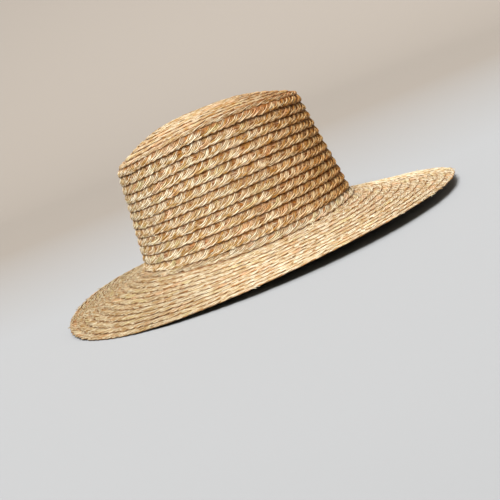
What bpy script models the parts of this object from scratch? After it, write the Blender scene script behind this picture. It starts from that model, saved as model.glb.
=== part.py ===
"""A wide-brimmed hat sewn from one long raffia plait.

The plait starts in the middle of the crown's tip and is sewn round and round, each row lapping
over the next, down the side of the crown and out to the edge of the brim. Three pieces follow the
way a hatter names them: the tip, the side and the brim.

Metres, +Z up, +X to the front of the hat. The hat rests on the edge of its brim, and the origin
is on the ground under the middle of the brim.
"""

import math

import bmesh
import bpy

# Ovals: each is longer than wide by the same amount, as rows sewn round a straight start are
OVAL_STRETCH = 0.032
BASE_WIDTH = 0.174
RIM_WIDTH = 0.1485
BASE_SET_BACK = 0.0042
RIM_SET_BACK = 0.0067

# Crown heights, from the level of the fold between crown and brim
CROWN_HEIGHT = 0.0996
RIM_FRONT_RISE = 0.0031
RIM_SIDE_ARCH = 0.0096
FOLD_FRONT_DIP = 0.0024
FOLD_SIDE_SAG = 0.0060
TIP_DOME_RISE = 0.0205

# Brim: width at the sides, how far its edge hangs, and how that edge leaves the level
BRIM_WIDTH = 0.0911
BRIM_DROP = 0.0202
BRIM_SIDE_LIFT = 0.0017
BRIM_TWIST = 0.0053
BRIM_WAVE = 0.0012
BRIM_HOLLOW = 0.0011

# Plait: height of one sewn row, how much further apart rows lie at the sides of the crown,
# thickness, and the step at each lap, outside and inside
ROW_PITCH = 0.0082
SIDE_ROW_SPREAD = 0.0008
WALL = 0.0020
LAP = 0.0012
INNER_LAP = 0.0007

# Space between pieces that touch
GAP = 0.0003

# Facets round the hat
SECTIONS = 48

# Waves round the brim's edge, and where their first crest lies
WAVE_COUNT = 3
WAVE_CREST = math.radians(20)

# The dome of the tip falls off with this power of the distance from its middle, at the hat's ends,
# and a little more slowly at its sides
DOME_POWER = 2.0
DOME_SIDE_POWER = 0.5

# The fold is rounded over this share of a row, up and down from it
FOLD_ROUNDING = 0.5

# The first oval of the tip, as a share of a row
TIP_START = 0.4

# One row in section. share: how far down the row. out: how far its face stands out, as a share
# of the lap. The side's rows are full and round, the tip's and brim's lie flatter.
SIDE_ROW = [
    {"share": 0.00, "out": 0.00},
    {"share": 0.45, "out": 0.80},
    {"share": 0.94, "out": 1.00},
]
FLAT_ROW = [
    {"share": 0.00, "out": 0.00},
    {"share": 0.88, "out": 1.00},
]
FOLD_ROW = [
    {"share": 0.00, "out": 0.00},
    {"share": 0.30, "out": 0.35},
    {"share": 0.60, "out": 0.70},
    {"share": 0.88, "out": 1.00},
]

# Rings of the smooth inside of the tip and of the side, as shares of the piece
TIP_LINING_SHARES = [0.88, 0.72, 0.54, 0.34]
SIDE_LINING_SHARES = [0.94, 0.88, 0.68, 0.46, 0.24]

STRAW_TIP = (0.78, 0.56, 0.31)
STRAW_SIDE = (0.70, 0.45, 0.22)
STRAW_BRIM = (0.81, 0.61, 0.36)

ANGLES = [math.tau * i / SECTIONS for i in range(SECTIONS)]


def mix(start, end, share):
    return start + (end - start) * share


def add(point, direction, distance):
    return tuple(p + d * distance for p, d in zip(point, direction))


def between(start, end, share):
    return tuple(mix(a, b, share) for a, b in zip(start, end))


def unit(vector):
    length = math.hypot(*vector)
    return tuple(v / length for v in vector)


def cross(a, b):
    return (
        a[1] * b[2] - a[2] * b[1],
        a[2] * b[0] - a[0] * b[2],
        a[0] * b[1] - a[1] * b[0],
    )


def oval_point(set_back, half_width, angle, height):
    """A point of an oval whose middle lies set_back behind the middle of the brim."""
    along = OVAL_STRETCH / 2 + half_width
    return (along * math.cos(angle) - set_back, half_width * math.sin(angle), height)


def rim_height(angle):
    sides = math.sin(angle) ** 2
    return CROWN_HEIGHT + RIM_FRONT_RISE * math.cos(angle) + RIM_SIDE_ARCH * sides


def fold_height(angle):
    return -FOLD_FRONT_DIP * math.cos(angle) - FOLD_SIDE_SAG * math.sin(angle) ** 2


def tip_point(share, angle):
    """The top of the crown, from its middle (0) to its rim (1)."""
    sides = math.sin(angle) ** 2
    rim = rim_height(angle)
    rise = CROWN_HEIGHT + TIP_DOME_RISE - rim
    fall = share ** (DOME_POWER + DOME_SIDE_POWER * sides)
    return oval_point(RIM_SET_BACK, RIM_WIDTH / 2 * share, angle, rim + rise * (1 - fall))


def side_point(share, angle):
    """The side of the crown, from its rim (0) down to the fold (1)."""
    return oval_point(
        mix(RIM_SET_BACK, BASE_SET_BACK, share),
        mix(RIM_WIDTH, BASE_WIDTH, share) / 2,
        angle,
        mix(rim_height(angle), fold_height(angle), share),
    )


def brim_point(share, angle):
    """The brim, from the fold (0) to its edge (1). Its twist and waves grow towards the edge."""
    level_edge = BRIM_SIDE_LIFT * math.sin(angle) ** 2 - BRIM_DROP
    bends = BRIM_WAVE * math.cos(WAVE_COUNT * (angle - WAVE_CREST)) - BRIM_TWIST * math.sin(2 * angle)
    hang = mix(fold_height(angle), level_edge, share) + bends * share ** 2
    hollow = BRIM_HOLLOW * 4 * share * (1 - share)
    half_width = BASE_WIDTH / 2 + BRIM_WIDTH * share
    return oval_point(BASE_SET_BACK * (1 - share), half_width, angle, hang - hollow)


def rows_to_fold(angle):
    """How many rows the side of the crown takes up at this angle. Rows lie level while the fold
    sags at the sides, so this isn't a whole number."""
    length = math.dist(side_point(0, angle), side_point(1, angle))
    return length / (ROW_PITCH + SIDE_ROW_SPREAD * math.sin(angle) ** 2)


SIDE_ROWS = round(min(rows_to_fold(angle) for angle in ANGLES))
BRIM_ROWS = round(BRIM_WIDTH / ROW_PITCH) + 1
TIP_ROWS = round(RIM_WIDTH / 2 / ROW_PITCH)
EDGE_ROW = SIDE_ROWS + BRIM_ROWS


def wall_point(row, angle):
    """Side and brim as one surface, by the row counted down from the rim, rounded at the fold."""
    fold = rows_to_fold(angle)

    def side(at):
        return side_point(at / fold, angle)

    def brim(at):
        return brim_point((at - fold) / (EDGE_ROW - fold), angle)

    if row <= fold - FOLD_ROUNDING:
        return side(row)
    if row >= fold + FOLD_ROUNDING:
        return brim(row)
    turn = (row - fold + FOLD_ROUNDING) / (2 * FOLD_ROUNDING)
    corner = side_point(1, angle)
    before = between(side(fold - FOLD_ROUNDING), corner, turn)
    after = between(corner, brim(fold + FOLD_ROUNDING), turn)
    return between(before, after, turn)


def facing(surface, at, angle, step=0.01):
    """Unit vectors of a surface: outwards, and on to the next row."""
    onward = [b - a for a, b in zip(surface(at - step, angle), surface(at + step, angle))]
    around = [b - a for a, b in zip(surface(at, angle - step), surface(at, angle + step))]
    return unit(cross(onward, around)), unit(onward)


def wall_ring(row, out, onward_shift=0.0):
    """A ring of points at a row, standing out from the surface, or in where out is negative."""
    ring = []
    for angle in ANGLES:
        outwards, onward = facing(wall_point, row, angle)
        point = add(wall_point(row, angle), outwards, out)
        ring.append(add(point, onward, onward_shift))
    return ring


def tip_ring(share, raised, spread=0.0):
    """A ring of the tip, raised or lowered, and spread outwards past the rim."""
    ring = []
    for angle in ANGLES:
        x, y, z = tip_point(share, angle)
        ring.append((x + spread * math.cos(angle), y + spread * math.sin(angle), z + raised))
    return ring


def lapped_rows(first_row, last_row, section):
    """Where each point of a stretch of rows lies, and how far out."""
    return [
        (row + point["share"], LAP * point["out"])
        for row in range(first_row, last_row)
        for point in section
    ]


def tip_rings():
    """The top from its middle to the rim, then the inside back to its middle."""
    rings = [tip_ring(TIP_START / TIP_ROWS, 0)]
    for row, out in lapped_rows(0, TIP_ROWS, FLAT_ROW)[1:]:
        rings.append(tip_ring(row / TIP_ROWS, out))
    rings.append(tip_ring(1, LAP / 2, LAP))
    rings.append(tip_ring(1, -WALL, LAP))
    rings.append(tip_ring(1 - WALL / (RIM_WIDTH / 2), -WALL))
    for share in TIP_LINING_SHARES:
        rings.append(tip_ring(share, -WALL))
    rings.append(tip_ring(TIP_START / TIP_ROWS, -WALL))
    return rings


def side_rings():
    """The outside from under the tip down to the last lap, then the inside up again."""
    seat = -WALL - GAP
    rings = [tip_ring(1, seat)]
    for row, out in lapped_rows(0, SIDE_ROWS, SIDE_ROW)[1:]:
        rings.append(wall_ring(row, out))
    rings.append(wall_ring(SIDE_ROWS, LAP * SIDE_ROW[-1]["out"]))
    rings.append(wall_ring(SIDE_ROWS, -WALL))
    for share in SIDE_LINING_SHARES:
        rings.append(wall_ring(SIDE_ROWS * share, -WALL))
    rings.append(tip_ring(1 - WALL / (RIM_WIDTH / 2), seat))
    return rings


def brim_rings():
    """The top from under the side's last lap out to the edge, then the underside back again."""
    flat_start = SIDE_ROWS + 2
    top = lapped_rows(SIDE_ROWS, flat_start, FOLD_ROW) + lapped_rows(flat_start, EDGE_ROW, FLAT_ROW)
    rings = [wall_ring(SIDE_ROWS, 0, GAP)]
    for row, out in top[1:]:
        rings.append(wall_ring(row, out))
    rings.append(wall_ring(EDGE_ROW, LAP / 2))
    rings.append(wall_ring(EDGE_ROW, INNER_LAP - WALL))
    for row in reversed(range(flat_start, EDGE_ROW)):
        rings.append(wall_ring(row, -WALL))
        rings.append(wall_ring(row - 1 + FLAT_ROW[-1]["share"], INNER_LAP - WALL))
    for row, _ in reversed(lapped_rows(SIDE_ROWS, flat_start - 1, FOLD_ROW)[1:]):
        rings.append(wall_ring(row, -WALL))
    rings.append(wall_ring(SIDE_ROWS, -WALL, GAP))
    return rings


def close_middle(bm, ring):
    """Closes an oval ring across its width, between each point and the one opposite."""
    for i in range(SECTIONS // 2):
        corners = [ring[i], ring[i + 1], ring[(SECTIONS - i - 1) % SECTIONS], ring[-i]]
        bm.faces.new(list(dict.fromkeys(corners)))


def straw_material(name, colour):
    material = bpy.data.materials.new(name)
    material.use_nodes = True
    shader = material.node_tree.nodes["Principled BSDF"]
    shader.inputs["Base Color"].default_value = (*colour, 1)
    shader.inputs["Roughness"].default_value = 0.65
    shader.inputs["Metallic"].default_value = 0.0
    return material


def shell(name, rings, colour, parent, closed=True):
    """A closed solid through rings of points: a tube that meets itself, or, where it isn't
    closed, a disc whose first and last rings are closed across the middle."""
    bm = bmesh.new()
    loops = [[bm.verts.new(point) for point in ring] for ring in rings]
    pairs = list(zip(loops, loops[1:]))
    if closed:
        pairs.append((loops[-1], loops[0]))
    for here, there in pairs:
        for i in range(SECTIONS):
            j = (i + 1) % SECTIONS
            bm.faces.new((here[i], here[j], there[j], there[i]))
    if not closed:
        close_middle(bm, loops[0])
        close_middle(bm, loops[-1])
    bmesh.ops.recalc_face_normals(bm, faces=bm.faces)
    mesh = bpy.data.meshes.new(name)
    bm.to_mesh(mesh)
    bm.free()
    mesh.shade_smooth()
    mesh.set_sharp_from_angle(angle=math.radians(35))
    mesh.materials.append(straw_material(name + "_straw", colour))
    piece = bpy.data.objects.new(name, mesh)
    piece.parent = parent
    bpy.context.scene.collection.objects.link(piece)
    return piece


def build():
    for old in list(bpy.data.objects):
        bpy.data.objects.remove(old, do_unlink=True)

    brim = brim_rings()
    hat = bpy.data.objects.new("raffia_hat", None)
    hat.location.z = -min(point[2] for ring in brim for point in ring)
    bpy.context.scene.collection.objects.link(hat)

    shell("crown_tip", tip_rings(), STRAW_TIP, hat, closed=False)
    shell("crown_side", side_rings(), STRAW_SIDE, hat)
    shell("brim", brim, STRAW_BRIM, hat)
    bpy.context.view_layer.update()


build()
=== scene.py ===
# %% [markdown]
# ## A raffia hat, row by row
# The hat is sewn from one long plait of raffia palm. The plait starts in the middle of the crown's
# top and goes round and round, each row lapping over the next, down the side of the crown and out
# to the edge of the brim. The look of the hat is the look of that plait, so this lesson builds the
# plait itself: first the surface it is sewn on, then the line it follows, then its seven strands.
# The measured solids are loaded first.

# %% Load the measured hat
import math
import random

import bpy
from mathutils import Matrix, Vector


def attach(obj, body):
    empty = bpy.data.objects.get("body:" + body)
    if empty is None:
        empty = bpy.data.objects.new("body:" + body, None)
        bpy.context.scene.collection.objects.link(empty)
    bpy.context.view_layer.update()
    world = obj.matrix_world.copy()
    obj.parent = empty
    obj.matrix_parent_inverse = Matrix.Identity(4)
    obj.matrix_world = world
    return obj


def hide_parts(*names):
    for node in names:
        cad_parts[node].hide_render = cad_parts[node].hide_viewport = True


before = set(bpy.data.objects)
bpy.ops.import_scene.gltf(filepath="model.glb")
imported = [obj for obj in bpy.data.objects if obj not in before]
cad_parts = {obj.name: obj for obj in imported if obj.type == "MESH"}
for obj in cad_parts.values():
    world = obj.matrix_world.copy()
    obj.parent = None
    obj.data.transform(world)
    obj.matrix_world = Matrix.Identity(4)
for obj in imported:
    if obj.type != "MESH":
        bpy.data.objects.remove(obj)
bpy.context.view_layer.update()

# %% [markdown]
# ### The surface under the plait
# A hatter sews over a block: an oval dome for the top, a leaning wall for the side and a drooping
# oval for the brim. All three follow from a few sizes, so the surface is a set of short functions
# that give a point for a row and an angle. Rows are counted from the crown's rim: below zero on
# the top, above zero down the side and out over the brim. Angle zero is the front of the hat.

# %% Sizes of the surface, in metres
OVAL_STRETCH = 0.032
BASE_WIDTH = 0.174
RIM_WIDTH = 0.1485
BASE_SET_BACK = 0.0042
RIM_SET_BACK = 0.0067
CROWN_HEIGHT = 0.0996
RIM_FRONT_RISE = 0.0031
RIM_SIDE_ARCH = 0.0096
FOLD_FRONT_DIP = 0.0024
FOLD_SIDE_SAG = 0.0060
TIP_DOME_RISE = 0.0205
DOME_POWER = 2.0
DOME_SIDE_POWER = 0.5
BRIM_WIDTH = 0.0911
BRIM_DROP = 0.0202
BRIM_SIDE_LIFT = 0.0017
BRIM_TWIST = 0.0053
BRIM_WAVE = 0.0012
BRIM_HOLLOW = 0.0011
WAVE_COUNT = 3
WAVE_CREST = math.radians(20)
ROW_PITCH = 0.0082
SIDE_ROW_SPREAD = 0.0008
TIP_ROWS = 9
EDGE_ROW = 24
FOLD_ROUNDING = 0.5
RIM_ROUNDING = 0.35


def mix(start, end, share):
    return start + (end - start) * share


def ease(start, end, value):
    """A smooth step from 0 to 1 between two values."""
    share = min(max((value - start) / (end - start), 0.0), 1.0)
    return share * share * (3 - 2 * share)


def oval_point(set_back, half_width, angle, height):
    along = OVAL_STRETCH / 2 + half_width
    return Vector((along * math.cos(angle) - set_back, half_width * math.sin(angle), height))


# %% The top, the side and the brim
def rim_height(angle):
    sides = math.sin(angle) ** 2
    return CROWN_HEIGHT + RIM_FRONT_RISE * math.cos(angle) + RIM_SIDE_ARCH * sides


def fold_height(angle):
    return -FOLD_FRONT_DIP * math.cos(angle) - FOLD_SIDE_SAG * math.sin(angle) ** 2


def tip_point(share, angle):
    rim = rim_height(angle)
    rise = CROWN_HEIGHT + TIP_DOME_RISE - rim
    fall = share ** (DOME_POWER + DOME_SIDE_POWER * math.sin(angle) ** 2)
    return oval_point(RIM_SET_BACK, RIM_WIDTH / 2 * share, angle, rim + rise * (1 - fall))


def side_point(share, angle):
    return oval_point(
        mix(RIM_SET_BACK, BASE_SET_BACK, share),
        mix(RIM_WIDTH, BASE_WIDTH, share) / 2,
        angle,
        mix(rim_height(angle), fold_height(angle), share),
    )


def brim_point(share, angle):
    level_edge = BRIM_SIDE_LIFT * math.sin(angle) ** 2 - BRIM_DROP
    wave = BRIM_WAVE * math.cos(WAVE_COUNT * (angle - WAVE_CREST))
    bends = wave - BRIM_TWIST * math.sin(2 * angle)
    hang = mix(fold_height(angle), level_edge, share) + bends * share**2
    hollow = BRIM_HOLLOW * 4 * share * (1 - share)
    half_width = BASE_WIDTH / 2 + BRIM_WIDTH * share
    return oval_point(BASE_SET_BACK * (1 - share), half_width, angle, hang - hollow)


def rows_to_fold(angle):
    length = (side_point(0, angle) - side_point(1, angle)).length
    return length / (ROW_PITCH + SIDE_ROW_SPREAD * math.sin(angle) ** 2)


# %% One surface, rounded at the rim and at the fold
def hat_point(row, angle):
    """A point of the hat for a row counted from the rim, and an angle from the front."""
    fold = rows_to_fold(angle)

    def top(at):
        return tip_point(max(1 + at / TIP_ROWS, 0.0), angle)

    def side(at):
        return side_point(at / fold, angle)

    def brim(at):
        return brim_point((at - fold) / (EDGE_ROW - fold), angle)

    def rounded(first, second, corner, reach):
        turn = (row - corner + reach) / (2 * reach)
        tip = first(corner)
        before = first(corner - reach).lerp(tip, turn)
        after = tip.lerp(second(corner + reach), turn)
        return before.lerp(after, turn)

    if row <= -RIM_ROUNDING:
        return top(row)
    if row < RIM_ROUNDING:
        return rounded(top, side, 0.0, RIM_ROUNDING)
    if row <= fold - FOLD_ROUNDING:
        return side(row)
    if row < fold + FOLD_ROUNDING:
        return rounded(side, brim, fold, FOLD_ROUNDING)
    return brim(row)


def hat_outward(row, angle, step=0.02):
    """The direction that faces out of the hat there."""
    onward = hat_point(row + step, angle) - hat_point(row - step, angle)
    around = hat_point(row, angle + step) - hat_point(row, angle - step)
    return onward.cross(around).normalized()


print("rows from rim to fold, front and side:", rows_to_fold(0), rows_to_fold(math.pi / 2))

# %% [markdown]
# ### How high the hat stands
# The surface is measured from the fold between crown and brim. The hat rests on the edge of its
# brim, so everything is lifted until the lowest point of that edge is on the ground. The edge of
# the solid lies a little under the surface, and the same distance is taken here.

# %% Lift to the ground
EDGE_UNDERSIDE = 0.0013
SOLID_SECTIONS = 48


def edge_under(angle):
    point = hat_point(EDGE_ROW, angle)
    return (point - hat_outward(EDGE_ROW, angle, 0.01) * EDGE_UNDERSIDE).z


lift = -min(edge_under(math.tau * i / SOLID_SECTIONS) for i in range(SOLID_SECTIONS))
print("the fold is above the ground by", round(lift, 5))
print("highest point of the top here:", tip_point(0, 0).z + lift)

# %% [markdown]
# ### The line that the plait follows
# The lower edge of each row lies one row further out after each turn, so the plait is a spiral.
# Its width is greater than the distance between rows: the upper part of each row is tucked under
# the row above it. In the last turns the spiral becomes a ring, so that the brim has an even edge,
# and the end of the plait slips under the row before it on the far side. Rows on the side of the
# crown lean out more and are higher than rows on the top and the brim, so their laps show more.

# %% The spiral
PLAIT_WIDTH = 0.0150
SIDE_LEAN = math.radians(6.7)
FLAT_LEAN = math.radians(4.5)
FLAT_LOFT = 0.75
SEAT = -0.0008
START_TURN = -8.17
END_TURN = 24.72
SPIRAL_START = math.radians(-100)
SLIP_FROM, SLIP_TO = 0.50, 0.75
RING_FROM, RING_FULL = EDGE_ROW - 4, EDGE_ROW - 1
SIDE_FROM, SIDE_FULL = -1.6, 0.2
SIDE_UNTIL, SIDE_GONE = 12.2, 14.0
RIM_COVER = 0.36
RIM_COVER_REACH = 0.6
PITCH_ROWS = (0.3, 1.3)
INNERMOST = -TIP_ROWS + 0.001


def lap_row(turn):
    """The row that the plait's lower edge has reached after so many turns."""
    whole, part = divmod(turn, 1)
    stepped = min(whole + ease(SLIP_FROM, SLIP_TO, part), EDGE_ROW)
    return mix(turn, stepped, ease(RING_FROM, RING_FULL, turn))


def on_side(turn):
    """How far a row belongs to the side of the crown: 1 there, 0 on the top and on the brim."""
    return ease(SIDE_FROM, SIDE_FULL, turn) * (1 - ease(SIDE_UNTIL, SIDE_GONE, turn))


def extra_lap(turn):
    """How much more of its width is covered on the row that turns down over the rim."""
    return RIM_COVER * (1 - ease(0.0, RIM_COVER_REACH, abs(lap_row(turn) - 1)))


def plait_centre(turn):
    """Row and angle of the middle of the plait, and the point there."""
    angle = math.tau * turn + SPIRAL_START
    lower = lap_row(turn)
    pitch = (hat_point(lower - PITCH_ROWS[0], angle) - hat_point(lower - PITCH_ROWS[1], angle)).length
    row = max(lower - PLAIT_WIDTH / 2 / pitch, INNERMOST)
    return row, angle, hat_point(row, angle)


print("the plait starts at", [round(v, 4) for v in plait_centre(START_TURN)[2]])

# %% [markdown]
# ### The plait bends with the surface
# At the rim and at the fold the plait is bent across its width, so one direction isn't enough.
# Three points describe it at each place along the line: its middle and its two edges. The edges
# are found on the surface, square to the line. The lower edge stands out and the upper edge is
# sunk, which makes each row lap over the next. Only the very start, where the plait lies straight
# on the flat middle of the crown, keeps straight edges.

# %% Middle and edges of the plait
LEVEL_UNTIL, LEANING_FROM, BENT_FROM = 0.35, 0.95, 1.6
START_SINK = 0.6


def edge_place(row, angle, rows, skew, out):
    """A point some rows on from another, square to the line, and the outward direction there."""
    at_row, at_angle = row + rows, angle + skew * rows
    outward = hat_outward(at_row, at_angle)
    return hat_point(at_row, at_angle) + outward * out, outward


def plait_frame(turn, step=0.0015):
    """The middle of the plait with its outward direction, then the same for both edges."""
    row, angle, centre = plait_centre(turn)
    outward = hat_outward(row, angle)
    along = (plait_centre(turn + step)[2] - plait_centre(turn - step)[2]).normalized()
    onward = along.cross(outward).normalized()
    half = PLAIT_WIDTH / 2
    started = ease(START_TURN + LEVEL_UNTIL, START_TURN + LEANING_FROM, turn)
    bent = ease(START_TURN + LEANING_FROM, START_TURN + BENT_FROM, turn)
    lean = mix(FLAT_LEAN, SIDE_LEAN, on_side(turn)) * started
    stand = half * math.sin(lean)
    slip = ROW_PITCH * math.sin(SIDE_LEAN)
    lap = lap_row(turn) - lap_row(turn - 1)
    sink = SEAT + slip * START_SINK * (1 - started) - slip * max(1 - lap, 0)
    edges = []
    for way in (1, -1):
        place = centre + onward * half * way + outward * (sink + stand * way)
        facing = outward
        if bent > 0:
            by_row = (hat_point(row + 0.1, angle) - hat_point(row - 0.1, angle)) / 0.2
            by_angle = (hat_point(row, angle + 0.02) - hat_point(row, angle - 0.02)) / 0.04
            skew = -by_row.dot(along) / by_angle.dot(along)
            rows = half / (by_row + by_angle * skew).length
            bent_place, bent_facing = edge_place(row, angle, rows * way, skew, sink + stand * way)
            place = place.lerp(bent_place, bent)
            facing = facing.lerp(bent_facing, bent)
        edges.append((place, (facing - onward * math.tan(lean)).normalized()))
    middle = centre + outward * sink
    return middle, (outward - onward * math.tan(lean)).normalized(), edges


somewhere = plait_frame(3.0)
print("a place on the side:", [round(v, 4) for v in somewhere[0]])
print("it faces:", [round(v, 2) for v in somewhere[1]])

# %% [markdown]
# ### The line as a guide
# Geometry Nodes need the line as a mesh of edges, and at each of its points all that the plait
# needs to know there: the way it faces, the way to its two edges, the length used up so far, how
# high it is and how much of it the row before covers. Plain attributes on the points carry them.
# On the top and the brim the plait is pulled longer. A second length, called lay, runs slower
# there, and the strands follow that one.

# %% Guide lines with their attributes
GUIDE_STEP = 0.003
FLAT_STRETCH = 1.35
SLOWEST = 0.02


def guide_stretch(turn_from, turn_to, run, lay):
    """Points of the line between two turns, evenly spaced, with both lengths so far."""
    points = []
    turn = turn_from
    while True:
        place, facing, edges = plait_frame(turn)
        if points:
            step = (place - points[-1]["place"]).length
            run += step
            lay += step / mix(FLAT_STRETCH, 1.0, on_side(turn))
        (lower, lower_facing), (upper, upper_facing) = edges
        points.append({
            "place": place,
            "facing": facing,
            "lower": lower - place,
            "upper": upper - place,
            "lower_facing": lower_facing,
            "upper_facing": upper_facing,
            "run": run,
            "lay": lay,
            "loft": mix(FLAT_LOFT, 1.0, on_side(turn)),
            "extra_lap": extra_lap(turn),
        })
        if turn >= turn_to:
            return points
        speed = (plait_centre(turn + 0.002)[2] - plait_centre(turn)[2]).length / 0.002
        turn = min(turn + GUIDE_STEP / max(speed, SLOWEST), turn_to)


def guide_object(name, points):
    mesh = bpy.data.meshes.new(name)
    places = [point["place"] + Vector((0, 0, lift)) for point in points]
    mesh.from_pydata(places, [(i, i + 1) for i in range(len(points) - 1)], [])
    for label in ("facing", "lower", "upper", "lower_facing", "upper_facing"):
        attribute = mesh.attributes.new(label, "FLOAT_VECTOR", "POINT")
        attribute.data.foreach_set("vector", [v for point in points for v in point[label]])
    for label in ("run", "lay", "loft", "extra_lap"):
        attribute = mesh.attributes.new(label, "FLOAT", "POINT")
        attribute.data.foreach_set("value", [point[label] for point in points])
    guide = bpy.data.objects.new(name, mesh)
    bpy.context.scene.collection.objects.link(guide)
    return guide


# %% Six stretches of the line
# Each one stays under a fifth of a million triangles and belongs to one solid.
STRETCHES = [
    {"name": "tip_plait", "node": "crown_tip", "to": 0.55},
    {"name": "side_plait_upper", "node": "crown_side", "to": 6.9},
    {"name": "side_plait_lower", "node": "crown_side", "to": 12.75},
    {"name": "brim_plait_inner", "node": "brim", "to": 17.6},
    {"name": "brim_plait_middle", "node": "brim", "to": 21.4},
    {"name": "brim_plait_outer", "node": "brim", "to": END_TURN},
]

run, lay, turn = 0.0, 0.0, START_TURN
for stretch in STRETCHES:
    points = guide_stretch(turn, stretch["to"], run, lay)
    stretch["guide"] = guide_object(stretch["name"] + "_line", points)
    run, lay, turn = points[-1]["run"], points[-1]["lay"], stretch["to"]
    print(stretch["name"], "ends after", round(run, 2), "m of plait")

# %% [markdown]
# ### Helpers for node trees
# A tree is easier to read in a script when a node and what feeds it stand on one line. The helper
# puts a node in a tree, sets its options, and fills each input with a plain value or a link.

# %% Node helpers
def put(tree, kind, inputs=None, output=0, **options):
    """A node with its options and inputs, giving one of its outputs."""
    node = tree.nodes.new(kind)
    count = len(tree.nodes) - 1
    node.location = (count // 6 * 220, -(count % 6) * 240)
    for option, value in options.items():
        setattr(node, option, value)
    for key, value in (inputs or {}).items():
        socket = node.inputs[key]
        if isinstance(value, bpy.types.NodeSocket):
            tree.links.new(value, socket)
        else:
            socket.default_value = value
    return node.outputs[output]


def calc(tree, operation, *values):
    return put(tree, "ShaderNodeMath", dict(enumerate(values)), operation=operation)


def turn_vector(tree, operation, *values):
    return put(tree, "ShaderNodeVectorMath", dict(enumerate(values)), operation=operation)


def ramp(tree, value, low, high, start=0.0, end=1.0):
    """A value that goes from start to end while another goes from low to high."""
    return put(tree, "ShaderNodeMapRange", {0: value, 1: low, 2: high, 3: start, 4: end})


def scaled(tree, direction, length):
    return put(tree, "ShaderNodeVectorMath", {0: direction, "Scale": length}, operation="SCALE")


def socket(tree, name, kind, value=None, way="INPUT"):
    made = tree.interface.new_socket(name=name, in_out=way, socket_type="NodeSocket" + kind)
    if value is not None:
        made.default_value = value
    return made


def read(tree, name, kind="FLOAT"):
    return put(tree, "GeometryNodeInputNamedAttribute", {"Name": name}, data_type=kind)


def store(tree, geometry, name, value, kind="FLOAT", domain="POINT"):
    return put(
        tree,
        "GeometryNodeStoreNamedAttribute",
        {"Geometry": geometry, "Name": name, "Value": value},
        data_type=kind,
        domain=domain,
    )


# %% [markdown]
# ### Unevenness
# Nothing in a hand plait is exact. A small group gives a smooth random number that drifts along
# the plait and differs from strand to strand. The same group is used wherever something may vary,
# so one input, the seed, changes all of it at once.

# %% A drifting random number
drift = bpy.data.node_groups.new("Drift along the plait", "GeometryNodeTree")
socket(drift, "Run", "Float", 0.0)
socket(drift, "Lane", "Float", 0.0)
socket(drift, "Wave Length", "Float", 0.02)
socket(drift, "Amount", "Float", 1.0)
socket(drift, "Seed", "Int", 0)
socket(drift, "Value", "Float", way="OUTPUT")
given = drift.nodes.new("NodeGroupInput").outputs
place = put(
    drift,
    "ShaderNodeCombineXYZ",
    {
        0: calc(drift, "DIVIDE", given["Run"], given["Wave Length"]),
        1: calc(drift, "MULTIPLY", given["Lane"], 7.31),
        2: calc(drift, "MULTIPLY", given["Seed"], 3.77),
    },
)
noise = put(drift, "ShaderNodeTexNoise", {"Vector": place, "Scale": 1.0, "Detail": 1.0})
spread = calc(drift, "MULTIPLY", calc(drift, "SUBTRACT", noise, 0.5), 3.0)
result = calc(drift, "MULTIPLY", spread, given["Amount"])
drift.links.new(result, drift.nodes.new("NodeGroupOutput").inputs["Value"])


def drifting(tree, lane, wave_length, amount, seed, run=None):
    node = tree.nodes.new("GeometryNodeGroup")
    node.node_tree = drift
    values = {"Run": run, "Lane": lane, "Wave Length": wave_length, "Amount": amount, "Seed": seed}
    for key, value in values.items():
        if isinstance(value, bpy.types.NodeSocket):
            tree.links.new(value, node.inputs[key])
        else:
            node.inputs[key].default_value = value
    return node.outputs["Value"]


# %% [markdown]
# ### The plait of seven strands
# In a flat plait each strand swings from one edge to the other, a seventh of a period behind the
# last one, and goes over the others one way and under them the other way. A sine of the length
# gives the swing, and a sine twice as fast gives over and under. A little of a sine three times as
# fast keeps a strand longer at the edge, and the over and under is shifted so that a strand lies
# on top where it turns at the lower edge. The line is copied once for each strand, and each copy
# is pushed aside and up by those waves. Waves are easy to steer, and they never run out of step.

# %% The plait's tree: inputs
plait = bpy.data.node_groups.new("Flat plait of raffia", "GeometryNodeTree")
socket(plait, "Geometry", "Geometry")
for label, value in (
    ("Plait Width", PLAIT_WIDTH),
    ("Rope Width", 0.0030),
    ("Spread", 0.0016),
    ("Rope Height", 0.00055),
    ("Period", 0.0480),
    ("Straight Edge", 0.13),
    ("Crossing Height", 0.00050),
    ("Strip Width", 0.00145),
    ("Strip Thickness", 0.0009),
    ("Step", 0.0031),
    ("Edge On Top", 0.40),
    ("Unevenness", 1.0),
):
    socket(plait, label, "Float", value)
socket(plait, "Strands", "Int", 7)
socket(plait, "Strips", "Int", 3)
socket(plait, "Seed", "Int", 4)
socket(plait, "Straw", "Material")
socket(plait, "Geometry", "Geometry", way="OUTPUT")
given = plait.nodes.new("NodeGroupInput").outputs

# %% How uneven each thing is
# A row holds the length of the drift in metres, and its share of the plain measure.
UNEVEN = {
    "whole plait ahead": (0.50, 0.7),
    "strand ahead": (0.045, 0.085),
    "strand sideways": (0.012, 0.125),
    "strand height": (0.009, 0.42),
    "strip sideways": (0.016, 0.22),
    "strip height": (0.007, 0.55),
    "strip roll": (0.007, 0.75),
    "strip width": (0.020, 0.28),
}
FLAT_LOOSENESS = 1.25


def uneven(what, lane):
    """A drifting number for the plait, a strand or a strip, as its row of the table says."""
    wave_length, share = UNEVEN[what]
    amount = calc(plait, "MULTIPLY", given["Unevenness"], share)
    return drifting(plait, lane, wave_length, amount, given["Seed"], read(plait, "run"))


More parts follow.
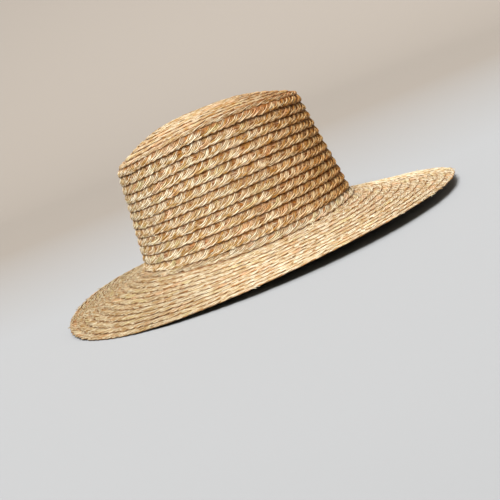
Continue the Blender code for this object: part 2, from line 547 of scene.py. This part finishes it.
def copied(tree, geometry, amount, name):
    """Copies of each line, with the number of the copy stored on it."""
    copies = put(
        tree,
        "GeometryNodeDuplicateElements",
        {"Geometry": geometry, "Amount": amount},
        domain="SPLINE",
    )
    number = copies.node.outputs["Duplicate Index"]
    return store(tree, copies, name, number, domain="CURVE")


# %% The plait's tree: seven strands and their waves
line = put(plait, "GeometryNodeMeshToCurve", {"Mesh": given["Geometry"]}, mode="EDGES")
line = put(plait, "GeometryNodeResampleCurve", {"Curve": line, "Length": given["Step"]}, mode="LENGTH")
lines = copied(plait, line, given["Strands"], "strand")
strand = read(plait, "strand")
loft = read(plait, "loft")
lag = calc(plait, "DIVIDE", strand, given["Strands"])
periods = calc(plait, "ADD", calc(plait, "DIVIDE", read(plait, "lay"), given["Period"]), lag)
periods = calc(plait, "ADD", periods, uneven("whole plait ahead", 0.0))
periods = calc(plait, "ADD", periods, uneven("strand ahead", strand))
phase = calc(plait, "MULTIPLY", periods, math.tau)

third = calc(plait, "SINE", calc(plait, "MULTIPLY", phase, 3.0))
third = calc(plait, "MULTIPLY", third, given["Straight Edge"])
swing = calc(plait, "ADD", calc(plait, "SINE", phase), third)
swing = calc(plait, "DIVIDE", swing, calc(plait, "SUBTRACT", 1.0, given["Straight Edge"]))
tighter = calc(plait, "MULTIPLY", loft, FLAT_LOOSENESS)
looseness = calc(plait, "SUBTRACT", 1 + FLAT_LOOSENESS, tighter)
sway = calc(plait, "MULTIPLY", uneven("strand sideways", strand), looseness)
swing = calc(plait, "ADD", swing, sway)
rope_share = calc(plait, "DIVIDE", given["Rope Width"], given["Plait Width"])
aside = calc(plait, "MULTIPLY", swing, calc(plait, "SUBTRACT", 1.0, rope_share))
aside_twice = calc(plait, "MULTIPLY", aside, aside)

twice = calc(plait, "ADD", calc(plait, "MULTIPLY", phase, 2.0), given["Edge On Top"])
over = calc(plait, "MULTIPLY", calc(plait, "SINE", twice), -1.0)
over = calc(plait, "ADD", over, uneven("strand height", strand))


# %% The plait's tree: strands pushed into place
def through_edges(tree, lower, middle, upper, at, at_twice):
    """A vector that goes smoothly from the upper edge through the middle to the lower edge."""
    across = turn_vector(tree, "SUBTRACT", lower, upper)
    slope = scaled(tree, across, calc(tree, "MULTIPLY", at, 0.5))
    mean = scaled(tree, turn_vector(tree, "ADD", lower, upper), 0.5)
    if middle is not None:
        mean = turn_vector(tree, "SUBTRACT", mean, middle)
    bend = turn_vector(tree, "ADD", slope, scaled(tree, mean, at_twice))
    return bend if middle is None else turn_vector(tree, "ADD", middle, bend)


def facing_at(at, at_twice):
    """The way the plait faces at a place across its width."""
    names = ("lower_facing", "facing", "upper_facing")
    lower_way, middle_way, upper_way = [read(plait, name, "FLOAT_VECTOR") for name in names]
    return through_edges(plait, lower_way, middle_way, upper_way, at, at_twice)


lower = read(plait, "lower", "FLOAT_VECTOR")
upper = read(plait, "upper", "FLOAT_VECTOR")
facing = turn_vector(plait, "NORMALIZE", facing_at(aside, aside_twice))
lines = store(plait, lines, "outward", facing, "FLOAT_VECTOR")
lines = store(plait, lines, "phase", phase)
lines = store(plait, lines, "over", over)
lines = store(plait, lines, "aside", calc(plait, "SUBTRACT", aside, read(plait, "extra_lap")))
crossing = calc(plait, "MULTIPLY", loft, given["Crossing Height"])
outward = read(plait, "outward", "FLOAT_VECTOR")
push = turn_vector(
    plait,
    "ADD",
    through_edges(plait, lower, None, upper, aside, aside_twice),
    scaled(plait, outward, calc(plait, "MULTIPLY", over, crossing)),
)
lines = put(plait, "GeometryNodeSetPosition", {"Geometry": lines, "Offset": push})

# %% [markdown]
# ### A backing inside the plait
# A real plait is pressed so close that it lets no light through. Strips swept along lines leave
# small gaps, so two wide, thin strips are laid in the middle of the plait's thickness. They are
# marked as lying deep, which gives them the painted shade of strands that go under the others.

# %% The plait's tree: backing
BACK_STRIPS = 2
BACK_APART = 0.72
BACK_SUNK = -0.00025
BACK_PAINTED_SHADE_MARK = -0.9
BACK_THICKNESS = 0.0003
BACK_WIDTH_SHARE = 0.42

back_step = calc(plait, "MULTIPLY", given["Step"], 2.0)
back_lines = put(
    plait,
    "GeometryNodeResampleCurve",
    {"Curve": line, "Length": back_step},
    mode="LENGTH",
)
back_lines = copied(plait, back_lines, BACK_STRIPS, "strand")
half_way = calc(plait, "MULTIPLY", read(plait, "strand"), BACK_APART)
half_way = calc(plait, "SUBTRACT", half_way, BACK_APART / 2)
half_way_twice = calc(plait, "MULTIPLY", half_way, half_way)
back_facing = facing_at(half_way, half_way_twice)
back_lines = store(plait, back_lines, "tilted", back_facing, "FLOAT_VECTOR")
back_push = turn_vector(
    plait,
    "ADD",
    through_edges(plait, lower, None, upper, half_way, half_way_twice),
    scaled(plait, read(plait, "tilted", "FLOAT_VECTOR"), BACK_SUNK),
)
back_lines = put(plait, "GeometryNodeSetPosition", {"Geometry": back_lines, "Offset": back_push})
# The backing gets the painted shade of strands that lie under others.
back_lines = store(plait, back_lines, "over", BACK_PAINTED_SHADE_MARK)
back_lines = put(
    plait,
    "GeometryNodeSetCurveNormal",
    {"Curve": back_lines, "Normal": read(plait, "tilted", "FLOAT_VECTOR")},
    mode="FREE",
)
back_section = put(plait, "GeometryNodeCurvePrimitiveCircle", {"Resolution": 4, "Radius": 0.5})
back_width = calc(plait, "MULTIPLY", given["Plait Width"], BACK_WIDTH_SHARE)
back_size = put(plait, "ShaderNodeCombineXYZ", {0: BACK_THICKNESS, 1: back_width, 2: 1.0})
back_section = put(plait, "GeometryNodeTransform", {"Geometry": back_section, "Scale": back_size})
backing = put(
    plait,
    "GeometryNodeCurveToMesh",
    {"Curve": back_lines, "Profile Curve": back_section, "Fill Caps": True},
)

# %% [markdown]
# ### Strips of leaf in a strand
# A strand is a few strips of leaf side by side. Where it crosses the middle of the plait the
# strips are spread out, and where it turns at an edge they are gathered into a narrow rope and
# change places. So each strand is copied again, once for each strip: the strips lie apart by the
# cosine of the strand's phase, and above each other by its sine. A thin section with three
# corners, its ridge facing out, is swept along every strip. Three are enough, because smooth
# shading rounds them, and more would cost too many triangles on so long a plait.

# %% The plait's tree: strips of each strand
FAN_SOFTNESS = 0.2
FAN_ROLL = 0.35

lines = copied(plait, lines, given["Strips"], "strip")
strip = read(plait, "strip")
number = calc(plait, "MULTIPLY", read(plait, "strand"), given["Strips"])
number = calc(plait, "ADD", number, strip)
most = calc(plait, "SUBTRACT", given["Strips"], 1.0)
lane = calc(plait, "DIVIDE", calc(plait, "MULTIPLY", strip, 2.0), most)
lane = calc(plait, "SUBTRACT", lane, 1.0)
phase = read(plait, "phase")
fanned = calc(plait, "COSINE", phase)
gathered = calc(plait, "ADD", calc(plait, "MULTIPLY", fanned, fanned), FAN_SOFTNESS)
gathered = calc(plait, "SQRT", gathered)
apart = calc(plait, "MULTIPLY", calc(plait, "DIVIDE", fanned, gathered), lane)
apart = calc(plait, "ADD", apart, uneven("strip sideways", number))
stacked = calc(plait, "MULTIPLY", calc(plait, "SINE", phase), lane)
stacked = calc(plait, "ADD", stacked, uneven("strip height", number))

heading = put(plait, "GeometryNodeInputTangent")
outward = read(plait, "outward", "FLOAT_VECTOR")
ahead = put(
    plait,
    "ShaderNodeVectorMath",
    {0: outward, 1: heading},
    output="Value",
    operation="DOT_PRODUCT",
)
square = turn_vector(plait, "SUBTRACT", outward, scaled(plait, heading, ahead))
square = turn_vector(plait, "NORMALIZE", square)
across = turn_vector(plait, "CROSS_PRODUCT", heading, square)
rope_height = calc(plait, "MULTIPLY", read(plait, "loft"), given["Rope Height"])
shift = turn_vector(
    plait,
    "ADD",
    scaled(plait, across, calc(plait, "MULTIPLY", apart, given["Spread"])),
    scaled(plait, square, calc(plait, "MULTIPLY", stacked, rope_height)),
)
roll = calc(plait, "ADD", calc(plait, "MULTIPLY", apart, FAN_ROLL), uneven("strip roll", number))
tilted = turn_vector(plait, "ADD", square, scaled(plait, across, roll))
tilted = turn_vector(plait, "NORMALIZE", tilted)
lines = store(plait, lines, "tilted", tilted, "FLOAT_VECTOR")
lines = put(plait, "GeometryNodeSetPosition", {"Geometry": lines, "Offset": shift})
lines = put(
    plait,
    "GeometryNodeSetCurveNormal",
    {"Curve": lines, "Normal": read(plait, "tilted", "FLOAT_VECTOR")},
    mode="FREE",
)

# %% The plait's tree: sweep and finish
# The section is a triangle of unit width: its corners lie 0.577 from the middle.
section = put(plait, "GeometryNodeCurvePrimitiveCircle", {"Resolution": 3, "Radius": 0.577})
corner = put(plait, "GeometryNodeInputPosition")
parts = plait.nodes.new("ShaderNodeSeparateXYZ")
plait.links.new(corner, parts.inputs[0])
section = store(plait, section, "lateral", calc(plait, "MULTIPLY", parts.outputs["Y"], 2.0))
section = store(plait, section, "front", calc(plait, "MULTIPLY", parts.outputs["X"], 1.73))
flat = put(
    plait,
    "ShaderNodeCombineXYZ",
    {
        0: calc(plait, "MULTIPLY", parts.outputs["X"], given["Strip Thickness"]),
        1: calc(plait, "MULTIPLY", parts.outputs["Y"], given["Strip Width"]),
    },
)
section = put(plait, "GeometryNodeSetPosition", {"Geometry": section, "Position": flat})
fullness = calc(plait, "ADD", uneven("strip width", number), 1.0)
body = put(
    plait,
    "GeometryNodeCurveToMesh",
    {"Curve": lines, "Profile Curve": section, "Scale": fullness, "Fill Caps": True},
)
joined = plait.nodes.new("GeometryNodeJoinGeometry")
plait.links.new(body, joined.inputs[0])
plait.links.new(backing, joined.inputs[0])
body = put(plait, "GeometryNodeSetShadeSmooth", {"Geometry": joined.outputs[0]})
body = put(plait, "GeometryNodeRealizeInstances", {"Geometry": body})
body = put(plait, "GeometryNodeSetMaterial", {"Geometry": body, "Material": given["Straw"]})
plait.links.new(body, plait.nodes.new("NodeGroupOutput").inputs["Geometry"])
print("nodes in the plait's tree:", len(plait.nodes))

# %% [markdown]
# ### Colour of raffia
# Raffia is strips of palm leaf. Each strip has its own tone, from cream to tan, some are reddish
# or greenish, and the tone drifts slowly along the strip. Fine lines run with the fibre. Shade is
# painted in too: a strip is painted darker where it goes under the others, along its edges and
# where the row before covers it, and painted shade darkens one end of a piece. Everything follows
# the attributes that the tree left on the plait: which strand, which place across it, how far
# along, how high. All three materials use it, so it is one shader group, with the tones as inputs.

# %% Shader group for raffia: inputs
raffia = bpy.data.node_groups.new("Raffia strips", "ShaderNodeTree")
socket(raffia, "Pale", "Color", (0.80, 0.62, 0.38, 1))
socket(raffia, "Deep", "Color", (0.55, 0.33, 0.14, 1))
socket(raffia, "Strip Contrast", "Float", 0.6)
socket(raffia, "Tint", "Float", 0.5)
socket(raffia, "Line Depth", "Float", 0.5)
socket(raffia, "Lap Shade", "Float", 0.85)
socket(raffia, "Strip Edge Shade", "Float", 0.7)
# Painted shade: each piece can be painted darker towards one end, along X.
socket(raffia, "Shaded End", "Float", 0.0)
socket(raffia, "Shaded End From", "Float", 0.02)
socket(raffia, "Shaded End To", "Float", 0.11)
socket(raffia, "Shaded End Colour", "Color", (0.7, 0.6, 0.5, 1))
socket(raffia, "Colour", "Color", way="OUTPUT")
socket(raffia, "Roughness", "Float", way="OUTPUT")
socket(raffia, "Height", "Float", way="OUTPUT")
given = raffia.nodes.new("NodeGroupInput").outputs


def painted(tree, name):
    """An attribute of the mesh, as the shader reads it."""
    kind = "ShaderNodeAttribute"
    return put(tree, kind, output="Fac", attribute_name=name, attribute_type="GEOMETRY")


def noise_at(tree, x, y, z, detail=2.0):
    place = put(tree, "ShaderNodeCombineXYZ", {0: x, 1: y, 2: z})
    return put(tree, "ShaderNodeTexNoise", {"Vector": place, "Scale": 1.0, "Detail": detail})


def colour_mix(tree, factor, first, second, blend="MIX"):
    return put(
        tree,
        "ShaderNodeMix",
        {0: factor, 6: first, 7: second},
        output=2,
        data_type="RGBA",
        blend_type=blend,
        clamp_factor=True,
    )


def times(value, by):
    return calc(raffia, "MULTIPLY", value, by)


# %% Shader group for raffia: light and dark of the strips
# The numbers by the run are changes of tone in a metre, the others set strands and strips apart.
run_at = painted(raffia, "run")
lateral_at = painted(raffia, "lateral")
strand_at = painted(raffia, "strand")
over_at = painted(raffia, "over")
front_at = painted(raffia, "front")

lane = calc(raffia, "ADD", times(painted(raffia, "strip"), 3.7), times(strand_at, 21.3))
tone = ramp(raffia, noise_at(raffia, times(run_at, 120.0), lane, 0.0), 0.3, 0.7)
broad = noise_at(raffia, times(run_at, 90.0), times(strand_at, 5.0), 5.0)
broad = ramp(raffia, broad, 0.3, 0.7)
tone = put(raffia, "ShaderNodeMix", {"Factor": 0.5, 2: tone, 3: broad}, data_type="FLOAT")
fibre = noise_at(raffia, times(run_at, 120.0), times(lateral_at, 3.0), lane, 3.0)
fibre = ramp(raffia, fibre, 0.35, 0.65)
contrast = times(calc(raffia, "SUBTRACT", tone, 0.5), given["Strip Contrast"])
shade = calc(raffia, "ADD", contrast, 0.5)
shade = calc(raffia, "ADD", shade, times(calc(raffia, "SUBTRACT", fibre, 0.5), 0.8))
colour = colour_mix(raffia, shade, given["Deep"], given["Pale"])

# %% Shader group for raffia: tints and painted shade
REDDISH_LEAF = (0.82, 0.47, 0.27, 1)
GREENISH_LEAF = (0.76, 0.70, 0.36, 1)
# Colours of painted shade: under other strands, in the grooves at strip edges, under the row before.
PAINTED_SHADE_UNDER_OTHERS = (0.27, 0.085, 0.004, 1)
PAINTED_SHADE_AT_STRIP_EDGES = (0.34, 0.13, 0.006, 1)
PAINTED_SHADE_UNDER_THE_LAP = (0.18, 0.054, 0.003, 1)

tint_pick = noise_at(raffia, times(run_at, 22.0), times(strand_at, 5.0), 17.0)
reddish = times(ramp(raffia, tint_pick, 0.56, 0.72), given["Tint"])
greenish = times(ramp(raffia, tint_pick, 0.44, 0.28), given["Tint"])
colour = colour_mix(raffia, reddish, colour, REDDISH_LEAF)
colour = colour_mix(raffia, greenish, colour, GREENISH_LEAF)

# Painted shade where a strand goes under the others, on the side that faces out.
side_seen = ramp(raffia, front_at, -0.5, -0.2, -1.0, 1.0)
under = ramp(raffia, times(over_at, side_seen), 0.0, -1.0, 0.0, 0.85)
colour = colour_mix(raffia, under, colour, PAINTED_SHADE_UNDER_OTHERS)

# Painted shade in the grooves along the edges of each strip.
from_middle = calc(raffia, "ABSOLUTE", lateral_at)
strip_edge_shade = ramp(raffia, from_middle, 0.35, 0.85, 0.0, given["Strip Edge Shade"])
edge_seen = ramp(raffia, front_at, -0.5, -0.2, 0.3, 1.0)
colour = colour_mix(raffia, times(strip_edge_shade, edge_seen), colour, PAINTED_SHADE_AT_STRIP_EDGES)

# Painted shade under the lap of the row before, broken into dashes.
tucked = ramp(raffia, painted(raffia, "aside"), 0.18, -0.12, 0.0, given["Lap Shade"])
dash = noise_at(raffia, times(run_at, 230.0), times(strand_at, 9.0), 3.0)
tucked = times(tucked, ramp(raffia, dash, 0.35, 0.6, 0.45, 1.0))
outside = ramp(raffia, front_at, -0.4, 0.3)
colour = colour_mix(raffia, times(tucked, outside), colour, PAINTED_SHADE_UNDER_THE_LAP)

# %% Shader group for raffia: painted shade at one end, roughness and height
where = raffia.nodes.new("ShaderNodeTexCoord")
where_parts = raffia.nodes.new("ShaderNodeSeparateXYZ")
raffia.links.new(where.outputs["Object"], where_parts.inputs[0])
# Painted shade darkens one end: the front of the tip and of the side, the back of the brim.
towards_end = times(where_parts.outputs["X"], given["Shaded End"])
end_shade = ramp(raffia, towards_end, given["Shaded End From"], given["Shaded End To"])
colour = colour_mix(raffia, end_shade, colour, given["Shaded End Colour"], "MULTIPLY")
out = raffia.nodes.new("NodeGroupOutput").inputs
raffia.links.new(colour, out["Colour"])
raffia.links.new(ramp(raffia, fibre, 0.0, 1.0, 0.50, 0.68), out["Roughness"])
raffia.links.new(times(fibre, given["Line Depth"]), out["Height"])
print("nodes in the raffia group:", len(raffia.nodes))

# %% Tones of the three pieces, partly painted light and shade
# The tip and the brim face the light and have darker tones, the side of the crown paler ones: partly
# the raffia's own tones, partly painted shade and painted light.
RAFFIA_TONES = {
    "crown_tip": {
        "Pale": (0.66, 0.59, 0.44, 1),
        "Deep": (0.40, 0.245, 0.09, 1),
        "Strip Contrast": 2.2,
        "Tint": 1.0,
        "Lap Shade": 0.8,
        "Strip Edge Shade": 0.8,
        "Shaded End": 1.0,
        "Shaded End From": 0.0,
        "Shaded End To": 0.07,
        "Shaded End Colour": (0.84, 0.68, 0.53, 1),
    },
    "crown_side": {
        "Pale": (1.0, 0.95, 0.74, 1),
        "Deep": (0.50, 0.29, 0.085, 1),
        "Strip Contrast": 2.8,
        "Tint": 1.0,
        "Lap Shade": 1.0,
        "Strip Edge Shade": 0.9,
        "Shaded End": 1.0,
        "Shaded End From": -0.022,
        "Shaded End To": 0.085,
        "Shaded End Colour": (0.75, 0.55, 0.34, 1),
    },
    "brim": {
        "Pale": (0.82, 0.77, 0.60, 1),
        "Deep": (0.48, 0.34, 0.17, 1),
        "Strip Contrast": 2.4,
        "Tint": 0.9,
        "Lap Shade": 0.6,
        "Strip Edge Shade": 0.9,
        "Shaded End": -1.0,
        "Shaded End From": 0.02,
        "Shaded End To": 0.11,
        "Shaded End Colour": (0.66, 0.62, 0.56, 1),
    },
}
SATIN = 0.12
FIBRE_RELIEF = 0.0005


def raffia_material(name, tones):
    """A material with the raffia group, given its own tones."""
    material = bpy.data.materials.new(name)
    material.use_nodes = True
    tree = material.node_tree
    shader = tree.nodes["Principled BSDF"]
    shader.inputs["Specular IOR Level"].default_value = SATIN
    group = tree.nodes.new("ShaderNodeGroup")
    group.node_tree = raffia
    for label, value in tones.items():
        group.inputs[label].default_value = value
    bump = tree.nodes.new("ShaderNodeBump")
    bump.inputs["Distance"].default_value = FIBRE_RELIEF
    bump.inputs["Strength"].default_value = 1.0
    tree.links.new(group.outputs["Colour"], shader.inputs["Base Color"])
    tree.links.new(group.outputs["Roughness"], shader.inputs["Roughness"])
    tree.links.new(group.outputs["Height"], bump.inputs["Height"])
    tree.links.new(bump.outputs["Normal"], shader.inputs["Normal"])
    return material


FINISHES = {
    node: raffia_material("raffia_" + node.removeprefix("crown_"), tones)
    for node, tones in RAFFIA_TONES.items()
}
print("materials:", [finish.name for finish in FINISHES.values()])

# %% [markdown]
# ### Plaiting the stretches
# Each stretch of line gets the tree as a modifier, is turned into a plain mesh, and takes the
# place of the smooth solid under it. A modifier could stay live on a piece, but a plain mesh is
# what every other program can read.

# %% Make each stretch
def set_inputs(modifier, values):
    """Fill a modifier's inputs, found by name but set by their identifiers."""
    items = modifier.node_group.interface.items_tree
    names = {item.name: item.identifier for item in items if item.in_out == "INPUT"}
    for name, value in values.items():
        modifier[names[name]] = value


def plain_mesh(source, name):
    """The result of an object's modifiers as a plain mesh of its own."""
    graph = bpy.context.evaluated_depsgraph_get()
    mesh = bpy.data.meshes.new_from_object(source.evaluated_get(graph), depsgraph=graph)
    mesh.name = name
    piece = bpy.data.objects.new(name, mesh)
    bpy.context.scene.collection.objects.link(piece)
    bpy.data.objects.remove(source, do_unlink=True)
    return piece


for stretch in STRETCHES:
    guide = stretch["guide"]
    modifier = guide.modifiers.new("Plait", "NODES")
    modifier.node_group = plait
    set_inputs(modifier, {"Straw": FINISHES[stretch["node"]]})
    piece = plain_mesh(guide, stretch["name"])
    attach(piece, "root")
    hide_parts(stretch["node"])
    piece.data.calc_loop_triangles()
    print(stretch["name"], "triangles:", len(piece.data.loop_triangles))

# %% [markdown]
# ### Loose ends of leaf
# The strips are short lengths of leaf, laid in one after another, and their ends stand out here
# and there, most of them along the edge of the brim. Hair particles could do it, but they don't
# become a mesh as easily. So one short arc is placed on chosen points, turned along an attribute
# and stretched at random, and then all arcs are swept into thin fibres.

# %% The tree for loose ends
loose = bpy.data.node_groups.new("Loose ends of leaf", "GeometryNodeTree")
socket(loose, "Geometry", "Geometry")
for label, value in (
    ("Shortest", 0.0025),
    ("Longest", 0.0075),
    ("Bend", 0.25),
    ("Thickness", 0.0006),
):
    socket(loose, label, "Float", value)
socket(loose, "Seed", "Int", 11)
socket(loose, "Straw", "Material")
socket(loose, "Geometry", "Geometry", way="OUTPUT")
given = loose.nodes.new("NodeGroupInput").outputs


def random_between(low, high, lot):
    drawn = calc(loose, "ADD", given["Seed"], lot)
    values = {2: low, 3: high, "Seed": drawn}
    return put(loose, "FunctionNodeRandomValue", values, output=1, data_type="FLOAT")


LONGEST_RUN = 9.0

reach = random_between(given["Shortest"], given["Longest"], 0)
least = calc(loose, "MULTIPLY", given["Bend"], -1.0)
bend_to_side = calc(loose, "MULTIPLY", reach, random_between(least, given["Bend"], 1))
bend_out = calc(loose, "MULTIPLY", reach, random_between(least, given["Bend"], 2))
arc = put(
    loose,
    "GeometryNodeCurveQuadraticBezier",
    {"Resolution": 4, "Start": (0, 0, 0), "Middle": (0.5, 0, 0), "End": (1, 1, 1)},
)
turned = put(
    loose,
    "FunctionNodeAlignRotationToVector",
    {"Vector": read(loose, "ahead", "FLOAT_VECTOR")},
    axis="X",
)
ends = put(
    loose,
    "GeometryNodeInstanceOnPoints",
    {
        "Points": given["Geometry"],
        "Instance": arc,
        "Rotation": turned,
        "Scale": put(loose, "ShaderNodeCombineXYZ", {0: reach, 1: bend_to_side, 2: bend_out}),
    },
)
ends = store(loose, ends, "run", random_between(0.0, LONGEST_RUN, 3), domain="INSTANCE")
ends = put(loose, "GeometryNodeRealizeInstances", {"Geometry": ends})
thin = calc(loose, "MULTIPLY", given["Thickness"], 0.5)
section = put(loose, "GeometryNodeCurvePrimitiveCircle", {"Resolution": 3, "Radius": thin})
ends = put(
    loose,
    "GeometryNodeCurveToMesh",
    {"Curve": ends, "Profile Curve": section, "Fill Caps": True},
)
ends = put(loose, "GeometryNodeSetShadeSmooth", {"Geometry": ends})
ends = put(loose, "GeometryNodeRealizeInstances", {"Geometry": ends})
ends = put(loose, "GeometryNodeSetMaterial", {"Geometry": ends, "Material": given["Straw"]})
loose.links.new(ends, loose.nodes.new("NodeGroupOutput").inputs["Geometry"])

# %% Where the loose ends stand out
LOW_PLACE = 0.003
LOW_RISE = 0.6
FRAYED_PLACES = (-44, -47, -53, -57, -60, -64, -70)
AT_EDGE = 0.1
chance = random.Random(7)


def loose_end(row, angle, lift_off, onward_share):
    """A point just over the plait and the direction of a fibre that starts there."""
    outward = hat_outward(row, angle)
    around = (hat_point(row, angle + 0.02) - hat_point(row, angle - 0.02)).normalized()
    onward = around.cross(outward)
    ahead = around * chance.choice((-1, 1)) + outward * chance.uniform(0.05, lift_off)
    ahead += onward * onward_share
    place = hat_point(row, angle) + Vector((0, 0, lift))
    if place.z < LOW_PLACE:
        ahead.z += LOW_RISE
    return place, ahead.normalized()


def any_angle():
    return chance.uniform(0, math.tau)


side_ends = [
    loose_end(chance.randint(1, 11) - AT_EDGE, any_angle(), 0.5, chance.uniform(-0.4, 0.4))
    for i in range(50)
]
brim_ends = [
    loose_end(EDGE_ROW - AT_EDGE, any_angle(), 0.2, chance.uniform(0.1, 0.8))
    for i in range(60)
]
brim_ends += [
    loose_end(chance.randint(14, 23) - AT_EDGE, any_angle(), 0.3, chance.uniform(-0.3, 0.3))
    for i in range(30)
]
brim_ends += [
    loose_end(EDGE_ROW - AT_EDGE, math.radians(degrees), 0.1, 0.9)
    for degrees in FRAYED_PLACES
]
print("loose ends on the side and on the brim:", len(side_ends), len(brim_ends))

# %% Make the loose ends
for name, node, found in (
    ("side_loose_ends", "crown_side", side_ends),
    ("brim_loose_ends", "brim", brim_ends),
):
    mesh = bpy.data.meshes.new(name + "_points")
    mesh.from_pydata([place for place, ahead in found], [], [])
    attribute = mesh.attributes.new("ahead", "FLOAT_VECTOR", "POINT")
    attribute.data.foreach_set("vector", [v for place, ahead in found for v in ahead])
    holder = bpy.data.objects.new(name + "_points", mesh)
    bpy.context.scene.collection.objects.link(holder)
    modifier = holder.modifiers.new("Loose ends", "NODES")
    modifier.node_group = loose
    set_inputs(modifier, {"Straw": FINISHES[node]})
    piece = plain_mesh(holder, name)
    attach(piece, "root")
    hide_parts(node)
    print(name, "corners:", len(piece.data.vertices))

# %% [markdown]
# ### Floor and wall
# The hat lies on a plain pale floor, which rises in a soft sweep to a wall all round, as in a
# small photo studio. A turned profile gives it: rings of corners, joined ring by ring. The
# plaster is a little cooler near by and warmer on the wall.

# %% Floor
FLOOR_RADIUS = 1.7
SWEEP_RADIUS = 1.2
SWEEP_RINGS = 24
WALL_TOP = 1.8
FLOOR_SECTIONS = 128
FLOOR_COLOUR = (0.322, 0.342, 0.368, 1)
WALL_COLOUR = (0.258, 0.238, 0.217, 1)

profile = [(0.02, 0.0), (0.5, 0.0), (FLOOR_RADIUS, 0.0)]
for i in range(1, SWEEP_RINGS + 1):
    bend = math.pi / 2 * i / SWEEP_RINGS
    radius = FLOOR_RADIUS + SWEEP_RADIUS * math.sin(bend)
    profile.append((radius, SWEEP_RADIUS * (1 - math.cos(bend))))
profile.append((FLOOR_RADIUS + SWEEP_RADIUS, WALL_TOP))
bearings = [math.tau * i / FLOOR_SECTIONS for i in range(FLOOR_SECTIONS)]
corners = [
    (radius * math.cos(bearing), radius * math.sin(bearing), height)
    for radius, height in profile
    for bearing in bearings
]
faces = [tuple(range(FLOOR_SECTIONS))]
for ring in range(len(profile) - 1):
    for i in range(FLOOR_SECTIONS):
        here, there = ring * FLOOR_SECTIONS, (ring + 1) * FLOOR_SECTIONS
        j = (i + 1) % FLOOR_SECTIONS
        faces.append((here + i, there + i, there + j, here + j))
floor_mesh = bpy.data.meshes.new("floor")
floor_mesh.from_pydata(corners, [], faces)
floor_mesh.shade_smooth()
floor = bpy.data.objects.new("floor", floor_mesh)
bpy.context.scene.collection.objects.link(floor)
print("floor faces:", len(floor_mesh.polygons))

# %% Plaster
plaster = bpy.data.materials.new("pale_plaster")
plaster.use_nodes = True
room_tree = plaster.node_tree
coordinates = room_tree.nodes.new("ShaderNodeTexCoord")
room_parts = room_tree.nodes.new("ShaderNodeSeparateXYZ")
room_tree.links.new(coordinates.outputs["Object"], room_parts.inputs[0])
to_wall = ramp(room_tree, room_parts.outputs["Y"], 0.1, 1.0)
plaster_colour = put(
    room_tree,
    "ShaderNodeMix",
    {0: to_wall, 6: FLOOR_COLOUR, 7: WALL_COLOUR},
    output=2,
    data_type="RGBA",
)
plaster_shader = room_tree.nodes["Principled BSDF"]
room_tree.links.new(plaster_colour, plaster_shader.inputs["Base Color"])
plaster_shader.inputs["Roughness"].default_value = 0.9
floor_mesh.materials.append(plaster)

# %% [markdown]
# ### Camera
# The camera looks along the same line as the photograph and is turned about it in the same way,
# so the hat leans in the picture while it lies level on the floor. Its three directions are worked
# out from the angles and put straight into its matrix, which is plainer than three turns in a row.

# %% Place the camera
CAMERA_RISE = 0.16736
CAMERA_TURN = -0.06451
CAMERA_ROLL = -0.38437
CAMERA_DISTANCE = 1.100
AIM_ACROSS = -0.010757
AIM_HEIGHT = -0.01972
FOCAL_SHARE = 1162.62 / 500
SENSOR_WIDTH = 36

back = Vector((
    math.sin(CAMERA_TURN) * math.cos(CAMERA_RISE),
    -math.cos(CAMERA_TURN) * math.cos(CAMERA_RISE),
    math.sin(CAMERA_RISE),
))
level = Vector((math.cos(CAMERA_TURN), math.sin(CAMERA_TURN), 0))
upright = back.cross(level)
right = level * math.cos(CAMERA_ROLL) + upright * math.sin(CAMERA_ROLL)
up = upright * math.cos(CAMERA_ROLL) - level * math.sin(CAMERA_ROLL)
aim = Vector((
    AIM_ACROSS * math.cos(CAMERA_TURN),
    AIM_ACROSS * math.sin(CAMERA_TURN),
    AIM_HEIGHT + lift,
))
lens = bpy.data.cameras.new("camera")
lens.sensor_width = SENSOR_WIDTH
lens.lens = SENSOR_WIDTH * FOCAL_SHARE
camera = bpy.data.objects.new("camera", lens)
turned_to_hat = Matrix((right, up, back)).transposed().to_4x4()
camera.matrix_world = Matrix.Translation(aim + back * CAMERA_DISTANCE) @ turned_to_hat
bpy.context.scene.collection.objects.link(camera)
bpy.context.scene.camera = camera
print("camera height:", round(camera.matrix_world.translation.z, 3))

# %% [markdown]
# ### Light
# A far lamp on the upper left stands for a window: a sun lamp, whose wide angle makes its shadows
# soft. A broad lamp overhead and a warm world fill the shade, as pale walls would.

# %% Lamps and world
WINDOW_STRENGTH = 5.6
WINDOW_ANGLE = math.radians(25)
CEILING_SIZE = 2.4
CEILING_STRENGTH = 34
CEILING_HEIGHT = 2.6
ROOM_COLOUR = (0.90, 0.70, 0.50, 1)
ROOM_STRENGTH = 0.32

window = bpy.data.lights.new("window", "SUN")
window.energy = WINDOW_STRENGTH
window.angle = WINDOW_ANGLE
window.color = (1.0, 0.97, 0.93)
window_holder = bpy.data.objects.new("window", window)
towards = (right * -0.44 + up * 0.52 + back * 0.74).normalized()
window_holder.rotation_euler = towards.to_track_quat("Z", "Y").to_euler()
window_holder.location = aim + towards * 2
bpy.context.scene.collection.objects.link(window_holder)
ceiling = bpy.data.lights.new("ceiling", "AREA")
ceiling.size = CEILING_SIZE
ceiling.energy = CEILING_STRENGTH
ceiling.color = (1.0, 0.98, 0.95)
above = bpy.data.objects.new("ceiling", ceiling)
above.location = (0, 0, CEILING_HEIGHT)
bpy.context.scene.collection.objects.link(above)
world = bpy.data.worlds.new("room_light")
world.use_nodes = True
background = world.node_tree.nodes["Background"]
background.inputs["Color"].default_value = ROOM_COLOUR
background.inputs["Strength"].default_value = ROOM_STRENGTH
bpy.context.scene.world = world
bpy.context.scene.view_settings.view_transform = "Standard"
print("the window's light comes from", [round(v, 2) for v in towards])
